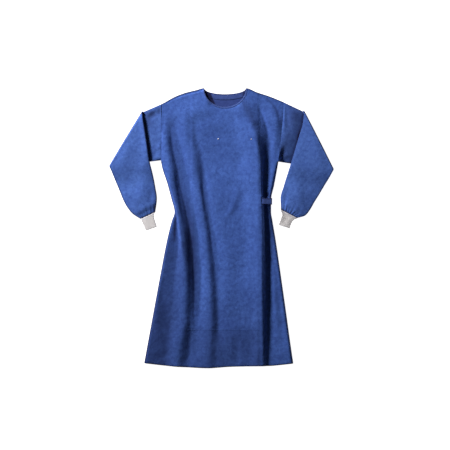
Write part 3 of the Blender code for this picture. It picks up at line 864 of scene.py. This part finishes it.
def back_panel(name, left, right, under):
    """A back panel between the sides left(y) and right(y), lying on the height under(x, y)."""
    rows = []
    for share in np.concatenate([[0.0], np.linspace(0.02, 1, BACK_ROWS)]):
        y = np.full(BACK_COLUMNS, lerp(TOP_GUESS, HEM[0], share))
        # a point's x depends on its y and the other way round, so they are found in turns
        for _ in range(4):
            x = lerp(left(y), right(y), np.linspace(0, 1, BACK_COLUMNS))
            y = lerp(neck_y(x, BACK_NECK_DEPTH), hem_y(np.clip(x, -330, 308)), share)
        rows.append((x, y))
    x, y = np.array(rows).transpose(1, 0, 2)
    # Painted shade along the neck edge and the painted shadow behind the left side of the neck
    rim = 0.85 * fade(neck_y(x, BACK_NECK_DEPTH) - y, 4.0)
    piece = sheet_mesh(name + "_cloth", x, y, under(x, y) + BACK_SHELL, SHADED_INSIDE, rim,
                       2.8 * neck_shade(x, y) * ease(y, 500, 520), thickness=BACK_SHELL)
    finish_piece(piece, "gown_cloth", name)
    return piece


def make_back():
    outer = back_panel("back_outer", lambda y: edge_x(y, -1), lambda y: OUTER_FREE_EDGE,
                       lambda x, y: 0 * x)
    inner = back_panel("back_inner", lambda y: INNER_FREE_EDGE, lambda y: edge_x(y, 1), back_lift)


def stitches(name, path, length=3.0, gap=1.4):
    """A row of small stitches along a path of points (mm), lying on the cloth."""
    path = np.asarray(path, float)
    step = np.hypot(*np.diff(path[:, :2], axis=0).T)
    along = np.concatenate([[0], np.cumsum(step)])
    starts = np.arange(gap, along[-1] - length, length + gap)
    points, faces = [], []
    ring = np.arange(STITCH_SIDES) * 2 * math.pi / STITCH_SIDES
    for start in starts:
        ends = [np.array([np.interp(start + d, along, path[:, k]) for k in range(3)])
                for d in (length * place for place, _ in STITCH_RINGS)]
        run = ends[-1] - ends[0]
        run /= np.linalg.norm(run)
        side = np.cross(run, (0, 0, 1))
        up = np.cross(side, run)
        base = len(points)
        for k, (end, (_, size)) in enumerate(zip(ends, STITCH_RINGS)):
            for a in ring:
                points.append(
                    end + (side * math.cos(a) + up * math.sin(a)) * size * STITCH_WIDTH
                    + up * STITCH_RISE * (1 if 0 < k < 3 else 0.2))
        faces += ring_faces(base, len(STITCH_RINGS), STITCH_SIDES)
    finish_piece(add_mesh(name, points, faces, THREAD, thickness=0), "gown_cloth")


def make_binding(surface):
    """The strip folded over the front's neck edge."""
    turns = np.radians(np.linspace(176, 4, 110))
    rows = []
    for out, height in BINDING_PROFILE:
        x = NECK_X - np.cos(turns) * (NECK_HALF + out)
        y = NECK_TOP - np.sin(turns) * (FRONT_NECK_DEPTH + out)
        inside = np.minimum(y, shoulder_y(x) - 1)
        room = surface.at(x, inside) - back_top(x, inside)
        z = surface.over(x, inside, height) if height > 0 else surface.at(x, inside)
        z = np.maximum(z + np.minimum(height, 0), surface.at(x, inside) - 0.6 * room)
        # The rim paints shade on the part turned round and under the neck edge
        rows.append((x, y, z, 0.85 * (1 - ease(out, 0.5, 3.0)) + 0 * x))
    x, y, z, rim = np.array(rows).transpose(1, 0, 2)
    binding = sheet_mesh("neck_binding_cloth", x, y, z, BINDING, rim, thickness=0.4)
    finish_piece(binding, "neck_binding", "neck_binding_front")
    x = NECK_X - np.cos(turns[6:-6]) * (NECK_HALF + 5)
    y = NECK_TOP - np.sin(turns[6:-6]) * (FRONT_NECK_DEPTH + 5)
    stitches("neck_binding_stitches", np.stack([x, y, surface.over(x, y, WALL + 0.75)], -1))


def make_band():
    """The strip inside the back's neck edge."""
    turns = np.radians(np.linspace(12, 168, 90))
    down = np.linspace(0, BAND_WIDTH, 12)[:, None]
    x = NECK_X - np.cos(turns)[None, :] * NECK_HALF + 0 * down
    y = NECK_TOP - np.sin(turns)[None, :] * BACK_NECK_DEPTH - 1 - down
    swell = np.sin(math.pi * np.clip(down / BAND_WIDTH, 0.04, 0.96)) ** 0.5
    z = WALL + LAYER - 0.05 + 0.3 * swell - 0.3 * ease(down, BAND_WIDTH - 4, BAND_WIDTH) + 0 * x
    # Painted shade along the band's top edge and faintly along its lower edge, with the painted
    # shadow behind the left side of the neck
    rim = 0.15 * fade(down - BAND_WIDTH, 2.5) + 0.6 * fade(down, 3.0)
    band = sheet_mesh("neck_band_cloth", x, y, z, BAND, rim + 0 * x, 2.8 * neck_shade(x, y),
                      thickness=0.3)
    finish_piece(band, "neck_binding", "neck_band_back")
    for label, place in (("top", 1), ("bottom", 10)):
        path = np.stack([x[place], y[place], z[place] + 0.2], -1)
        stitches("neck_band_stitches_" + label, path)


def make_belt(surface):
    """The tie: over the side of the front, round the right edge and back underneath."""
    rows = np.linspace(BELT_TOP - 0.5, BELT_TOP - BELT_WIDTH + 0.5, BELT_ROWS)
    points = []
    for k, y in enumerate(rows):
        edge = float(edge_x(y, 1)[0])
        over_x = np.linspace(BELT_START, edge - 1, BELT_OVER)
        over_z = surface.over(over_x, np.full(BELT_OVER, y), WALL) + 1.6
        bridge = over_z[0] - BELT_FALL * ease(over_x, BELT_START, edge)
        over_z = np.maximum(over_z, bridge)
        turn = np.radians(np.linspace(90, -90, BELT_TURN + 2)[1:-1])
        turn_x = edge + (BELT_STANDS_OUT - 0.4) * np.cos(turn)
        turn_z = lerp(0.5, over_z[-1], (1 + np.sin(turn)) / 2)
        under_x = np.linspace(edge - 1, BELT_UNDER_END, BELT_UNDER)
        x = np.concatenate([over_x, turn_x, under_x])
        z = np.concatenate([over_z, turn_z, np.full(BELT_UNDER, 0.5)])
        z[:BELT_OVER] += 0.8 * math.sin(math.pi * k / (BELT_ROWS - 1)) ** 0.5
        # Painted shade along the belt's top and bottom edge rows, darkest at the top
        rim = 1.0 if k in (0, 1, 13, 14) else 0.25
        dark = (2.2, 1.8, 0.8, 0.4)[k] if k < 4 else 1.5 * (k > 12) + 0.3
        points.append((x, y + 0 * x, z, rim + 0 * x, dark + 0 * x))
    x, y, z, rim, dark = np.array(points).transpose(1, 0, 2)
    belt = sheet_mesh("belt_cloth", x, y, z, BINDING, rim, dark, thickness=0.45)
    finish_piece(belt, "gown_cloth", "belt")
    for label, k in (("top", 2), ("bottom", 12)):
        path = np.stack([x[k], y[k], z[k] + 0.15], -1)
        stitches("belt_stitches_" + label, path[3:BELT_OVER])


def chord_at(table, share):
    shares = [row.share for row in table]
    return [float(smooth(shares, [row[k] for row in table], share)) for k in range(1, 5)]


def section(width, height, edge_height, strips, flat_side_up):
    """A flattened tube's outer ring: across, height, and +1 on the upper layer, -1 below."""
    round_off = edge_height / 2
    a = round_off + (width - 2 * round_off) * np.arange(strips + 1) / strips
    here = edge_height + (height - edge_height) * np.sin(math.pi * a / width)
    low = (height - here) * flat_side_up
    bend = np.radians(np.linspace(-90, 90, 7)[1:-1])
    mid = low[0] + edge_height / 2
    right_a, right_h = width - round_off + round_off * np.cos(bend), mid + round_off * np.sin(bend)
    left_a, left_h = round_off - round_off * np.cos(bend), mid - round_off * np.sin(bend)
    across = np.concatenate([a, right_a, a[::-1], left_a])
    level = np.concatenate([low, right_h, (low + here)[::-1], left_h])
    layer = np.concatenate([-np.ones(len(a)), np.sin(bend), np.ones(len(a)), -np.sin(bend)])
    return across, level, layer


def tube_mesh(name, rings, material, side, rims=None, alongs=None):
    rings = np.array(rings)
    rows, count = rings.shape[:2]
    faces = grid_faces(rows, count, closed=True)
    if side < 0:
        faces = faces[:, ::-1]
    return add_mesh(name, rings.reshape(-1, 3), faces, material, rims, alongs)


def pleated(pleats, share, t, width):
    """How far the pleats raise or lower the cloth at the places t across a sleeve."""
    total = 0 * t
    for p in pleats:
        reach = ease(share, 1 - p.length, 1.0)
        spread = p.width * (1 + 1.2 * (1 - reach))
        gap = (t - p.across) * width
        form = 0.9 * fade(gap - spread * 0.9, spread) - fade(gap, spread)
        total += 0.6 * p.depth * reach * (1 - 0.6 * ease(share, 0.975, 1)) * form
    return total


def make_sleeve(surface, own):
    """A flat tube: out from the armhole, over the fold and down across the front."""
    side, lower, underarm = own.side, own.lower, own.underarm
    top_y = float(shoulder_y(edge_x(ARMHOLE_TOP, side)[0])) - 0.5
    start = lower[0]
    inner = np.array([start.inner_x, start.inner_y], float)
    outer = np.array([start.outer_x, start.outer_y], float)
    along = (outer - inner) / np.hypot(*(outer - inner))
    out = np.array([-along[1], along[0]])
    if out[0] * side < 0:
        out = -out
    bend_a, bend_b = inner - out * FOLD_CENTRE, outer - out * FOLD_CENTRE
    bend_width = float(np.hypot(*(bend_b - bend_a)))
    rings, rims, dark = [], [], []
    limit = edge_x(underarm, side)[0]
    # the inner edge of the lower part, which covers the upper part beyond it
    cover_y = [row.inner_y for row in lower][::-1]
    cover_x = [row.inner_x for row in lower][::-1]

    for share in UPPER_SHARES:
        width = lerp(top_y - underarm, bend_width, share)
        a, h, layer = section(width, SLEEVE_HEIGHT, SLEEVE_EDGE, SLEEVE_STRIPS, 0.0)
        t = a / width
        inward = np.minimum(t, 1 - t)
        y_seam = lerp(top_y, underarm, t)
        seam_x = edge_x(y_seam, side) + side * 0.1
        bend = bend_a + (bend_b - bend_a) * t[:, None]
        x = lerp(seam_x, bend[:, 0], share)
        y = lerp(y_seam, bend[:, 1], share)
        clear = (np.interp(y, cover_y, cover_x) - x) * side
        free = (layer > 0) * ease(clear, 0, 40) * ease(inward, 0.0, 0.12)
        z = h + free * own.rise
        front = surface.over(edge_x(y_seam, side) - side, y_seam, WALL) - 0.2
        run_out = np.hypot(x - seam_x, y - y_seam)
        fall = lerp(own.fall_top, own.fall_foot, ease(y_seam, 420, 310))
        meets = (layer > 0.5) * (1 - ease(run_out, 0, fall)) * ease(inward, 0.0, 0.05)
        z = lerp(z, np.maximum(front, h), meets)
        z += free * ease(run_out, 0, 6) * creased(x, y, own.creases)
        rings.append(np.stack([x, y, np.maximum(z, h * 0.6)], -1))
        # Painted shade: darker at the edges, along the armhole seam, away from the armhole and in
        # the patches, with a painted shadow beside the lower part's inner edge
        edge = fade(np.minimum(a, width - a), 3.0) * 0.7
        rims.append(np.maximum(edge, 0.2 * fade(run_out, 2.0)))
        dark.append(own.dark * ease(run_out, 0, 30) + hollow_shade(x, y, own.hollows)
                    + 1.4 * fade(np.maximum(clear, 0), 11) + 2.2 * edge**2)

    for angle in FOLD_ANGLES:
        flip = float(ease(angle, 0, 180))
        a, h, _ = section(bend_width, SLEEVE_HEIGHT, SLEEVE_EDGE, SLEEVE_STRIPS, flip)
        radius = FOLD_CENTRE - h
        turn = math.radians(angle)
        bulge = radius * math.sin(turn)
        plan = bend_a + along * a[:, None] + out * bulge[:, None]
        rings.append(np.column_stack([plan, FOLD_CENTRE - radius * math.cos(turn)]))
        # Painted shade round the fold's edge
        round_the_fold = float(ease(angle, 20, 70) * ease(184 - angle, 0, 30))
        rims.append(0.9 * round_the_fold + 0 * a)
        dark.append(2.4 * round_the_fold + 0 * a)

    for share in LOWER_SHARES:
        ax, ay, bx, by = chord_at(lower, share)
        width = math.hypot(bx - ax, by - ay)
        a, h, layer = section(width, SLEEVE_HEIGHT, SLEEVE_EDGE, SLEEVE_STRIPS, 1.0)
        t = a / width
        x, y = lerp(ax, bx, t), lerp(ay, by, t)
        reach = np.abs(x - limit) / abs(start.outer_x - limit)
        past = lerp(underarm, start.outer_y, reach) - y
        settle = 2 * FOLD_CENTRE - SLEEVE_HEIGHT
        z = 2 * FOLD_CENTRE - h - settle * ease(past, SETTLE_START, SETTLE_END)
        up = np.clip(-layer, 0, 1)
        body = np.sin(math.pi * np.clip(t, 0, 1)) ** 0.6
        swell = own.blouse * ease(share, 0.25, 0.85) * (1 - 0.8 * ease(share, 0.9, 1.0))
        lift = creased(x, y, own.creases) * ease(share, 0.02, 0.15) + swell + 1.0
        lift = lift * ease(1 - share, 0, 0.08)
        stand = own.stand * fade(a, 26.0) * ease(share, 0.0, 0.06) * ease(0.55 - share, 0, 0.2)
        z = z + up * body * lift + up * pleated(own.pleats, share, t, width) + up * stand
        rings.append(np.stack([x, y, np.maximum(z, 0.0)], -1))
        # Painted shade at the edges and the mouth, and along the inner edge with the patches of
        # painted shadow
        edge = fade(np.minimum(a, width - a), 4.0) * own.edge
        mouth = fade((1 - share) * 200, 3.0)
        rims.append(np.maximum(edge, 0.7 * mouth))
        shadow = own.shadow * fade(a, 8) + hollow_shade(x, y, own.lower_hollows)
        dark.append(np.maximum(1.6 * edge**2, 1.1 * mouth) + shadow)

    sleeve = tube_mesh(own.name + "_cloth", rings, SLEEVE, side, rims, dark)
    finish_piece(sleeve, "gown_cloth", own.name)


def make_cuff(name, side, table, lower, edge_shade):
    """A rib-knit tube, its ribs raised, whose top goes up into the sleeve."""
    rings, rims, alongs = [], [], []
    length = math.hypot(table[0].inner_x - table[-1].inner_x, table[0].inner_y - table[-1].inner_y)
    for share in CUFF_SHARES:
        ax, ay, bx, by = chord_at(table, share) if share >= 0 else chord_at(lower, TUCKED_AT)
        if share < 0:
            ax, bx = lerp(ax, bx, 0.04), lerp(ax, bx, 0.96)
            ay, by = lerp(ay, by, 0.04), lerp(ay, by, 0.96)
        width = math.hypot(bx - ax, by - ay)
        a, h, layer = section(width, CUFF_HEIGHT, CUFF_EDGE, CUFF_STRIPS, 0.0)
        t = a / width
        upper = np.clip(layer, 0, 1)
        wave = np.cos(2 * math.pi * RIBS * t + 0.25 * math.sin(5 * share))
        z = h + (CUFF_LIFT + RIB_HEIGHT * 0.5 * (1 + wave)) * upper
        z += upper * (0.3 * np.sin(3 * math.pi * t + 2 * share) * np.sin(math.pi * share))
        z = z * lerp(0.45, 1.0, ease(share, CUFF_SHARES[0], 0.05))
        rings.append(np.stack([lerp(ax, bx, t), lerp(ay, by, t), z], -1))
        # Painted shade in the rib grooves, at the sides, at the bottom edge and under the seam
        groove = np.clip(0.5 - 0.5 * wave, 0, 1) ** 2 * 0.15
        edge = fade(np.minimum(a, width - a), 2.4) * edge_shade
        hem = 0.9 * fade((1 - share) * length, 2.2)
        seam_line = 0.6 * fade(share * length - SEAM_WIDTH - 1.2, 1.3)
        rims.append(np.maximum.reduce([groove, edge, np.full(len(a), hem + seam_line)]))
        alongs.append(np.full(len(a), share * length))
    cuff = tube_mesh(name + "_knit", rings, KNIT, -side, rims, alongs)
    finish_piece(cuff, "knit_cuff", name)
    make_overlock(name + "_overlock", table, length)


def make_overlock(name, table, length):
    """The overlocked seam: a pale strip of looped thread round the top of a cuff."""
    seam = []
    ax, ay, bx, by = chord_at(table, 0.0)
    cx, cy, dx, dy = chord_at(table, SEAM_WIDTH / length)
    count = int(2 * math.hypot(bx - ax, by - ay) / SEAM_LOOP)
    for k in range(count):
        t = (k + 0.5) / count
        place, height = (0.02, 0.8) if k % 2 else (0.98, 1.0)
        x = lerp(lerp(ax, bx, t), lerp(cx, dx, t), place)
        y = lerp(lerp(ay, by, t), lerp(cy, dy, t), place)
        here = (CUFF_EDGE + (CUFF_HEIGHT - CUFF_EDGE) * math.sin(math.pi * t)) * height
        drop = 1.6 * max(0.0, 1 - min(t, 1 - t) / 0.03)
        seam.append((x, y, here + CUFF_LIFT + 0.1 - drop))
    curve = bpy.data.curves.new(name, "CURVE")
    curve.dimensions = "3D"
    curve.bevel_depth = 0.3 * MM
    curve.bevel_resolution = 1
    spline = curve.splines.new("POLY")
    spline.points.add(len(seam) - 1)
    for point, place in zip(spline.points, seam):
        point.co = (*[c * MM for c in place], 1)
    curve.materials.append(PALE_THREAD)
    finish_piece(add_object(name, curve), "knit_cuff")


def make_hem_stitches(surface):
    """The stitching along the hem and along the reinforcement's lower edge."""
    x = np.linspace(-322, 300, 160)
    y = hem_y(x) + 12
    stitches("hem_stitches", np.stack([x, y, surface.over(x, y, WALL) + 0.15], -1),
             length=3.2, gap=1.8)
    x = np.linspace(-150, 164, 90)
    y = np.full(90, REINFORCEMENT_HEM + 3.0)
    stitches("reinforcement_stitches",
             np.stack([x, y, surface.over(x, y, WALL + SEAM_GAP) + 0.35], -1))


def make_tacks(surface):
    """Two small mounds of thread on the chest."""
    points, faces = [], []
    for cx, cy in TACKS:
        base = len(points)
        top = float(surface.over(cx, cy, WALL)) + 0.4
        for size, height in TACK_RINGS:
            for k in range(TACK_SIDES):
                a = 2 * math.pi * k / TACK_SIDES
                radius = size * (1 + 0.12 * math.sin(3 * a + cx))
                points.append(
                    (cx + radius * math.cos(a), cy + 0.8 * radius * math.sin(a), top + height))
        faces += ring_faces(base, len(TACK_RINGS), TACK_SIDES)
    tacks = add_mesh("chest_tacks", points, faces, PALE_THREAD, thickness=0)
    finish_piece(tacks, "neck_binding")


def make_stage():
    shader = Shader("pale_floor", (0.93, 0.93, 0.93), 0.9)
    grain = shader.stretch(shader.noise(shader.place(), 3, 2, 0.5), 0, 1, 0.92, 0.95)
    shader.give(shader.inputs, {
        "Base Color": shader.mix(grain, (0.0, 0.0, 0.0), (1.0, 1.0, 1.0)),
        "Emission Color": (1, 1, 1),
        "Emission Strength": 1.0,
    })
    mesh = bpy.data.meshes.new("floor")
    corners = ((-1, -1), (1, -1), (1, 1), (-1, 1))
    mesh.from_pydata([(FLOOR_HALF * i, FLOOR_HALF * j, 0) for i, j in corners], [], [(0, 1, 2, 3)])
    mesh.materials.append(shader.material)
    floor = add_object("floor", mesh)
    floor.location.z = -FLOOR_DEPTH


def make_light():
    key = bpy.data.lights.new("key", "AREA")
    key.shape = "SQUARE"
    key.size = KEY_SIZE
    key.energy = KEY_POWER
    key.color = (1.0, 0.985, 0.96)
    lamp = add_object("key", key)
    lamp.location = KEY_PLACE
    lamp.rotation_euler = (-lamp.location).to_track_quat("-Z", "Y").to_euler()
    world = bpy.data.worlds.new("studio")
    world.use_nodes = True
    sky = world.node_tree.nodes["Background"].inputs
    sky["Color"].default_value = (0.93, 0.96, 1.0, 1)
    sky["Strength"].default_value = SKY_STRENGTH
    bpy.context.scene.world = world


def make_camera():
    """Straight down, with the neck at the top of the frame."""
    camera = bpy.data.cameras.new("camera")
    camera.lens = CAMERA_LENS
    camera.sensor_width = CAMERA_SENSOR
    camera.clip_end = 50
    height = FRAME_WIDTH * CAMERA_LENS / CAMERA_SENSOR + CLOTH_MIDDLE
    stand = add_object("camera", camera)
    stand.location = (CAMERA_X, CAMERA_Y, height)
    bpy.context.scene.camera = stand


def main():
    bpy.context.scene.view_settings.view_transform = "Standard"
    make_camera()
    make_light()
    make_stage()
    surface = HeightMap()
    make_back()
    make_front(surface)
    make_reinforcement(surface)
    make_binding(surface)
    make_band()
    make_belt(surface)
    for own in SLEEVES:
        make_sleeve(surface, own)
    make_cuff("cuff_left", -1, CUFF_LEFT, LOWER_LEFT, 0.9)
    make_cuff("cuff_right", 1, CUFF_RIGHT, LOWER_RIGHT, 0.4)
    make_hem_stitches(surface)
    make_tacks(surface)


main()
